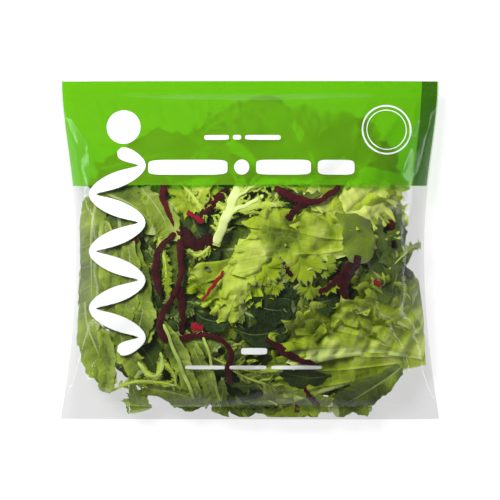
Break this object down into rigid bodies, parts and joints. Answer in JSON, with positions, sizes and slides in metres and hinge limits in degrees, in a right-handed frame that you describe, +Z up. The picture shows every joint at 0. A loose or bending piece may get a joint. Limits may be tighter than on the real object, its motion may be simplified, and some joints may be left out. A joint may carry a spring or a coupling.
{
  "type": "bag of salad leaves",
  "caption": "Sealed pillow bag of clear film with a plain green header print, filled with mixed lettuce, frisee, herb leaves and beet strips, lying on its back.",
  "frame": {"origin": "under the middle of the bag, at the surface it lies on", "axes": "+X across the bag, to its right as its front is seen; +Y from the base seal to the printed header's seal; +Z up out of its front"},
  "size_m": [0.28, 0.25, 0.0733],
  "materials": {
    "clear_film": "glossy, clear, slightly milky polypropylene film",
    "green_print": "glossy, nearly opaque green ink on the film",
    "white_print": "glossy, opaque white ink on the film",
    "lettuce": "waxy green leaf with pale ribs",
    "dark_leaf": "waxy dark green leaf",
    "beet": "moist dark red strip"
  },
  "bodies": {
    "root": {"salad_bag": "clear_film"}
  },
  "joints": []
}
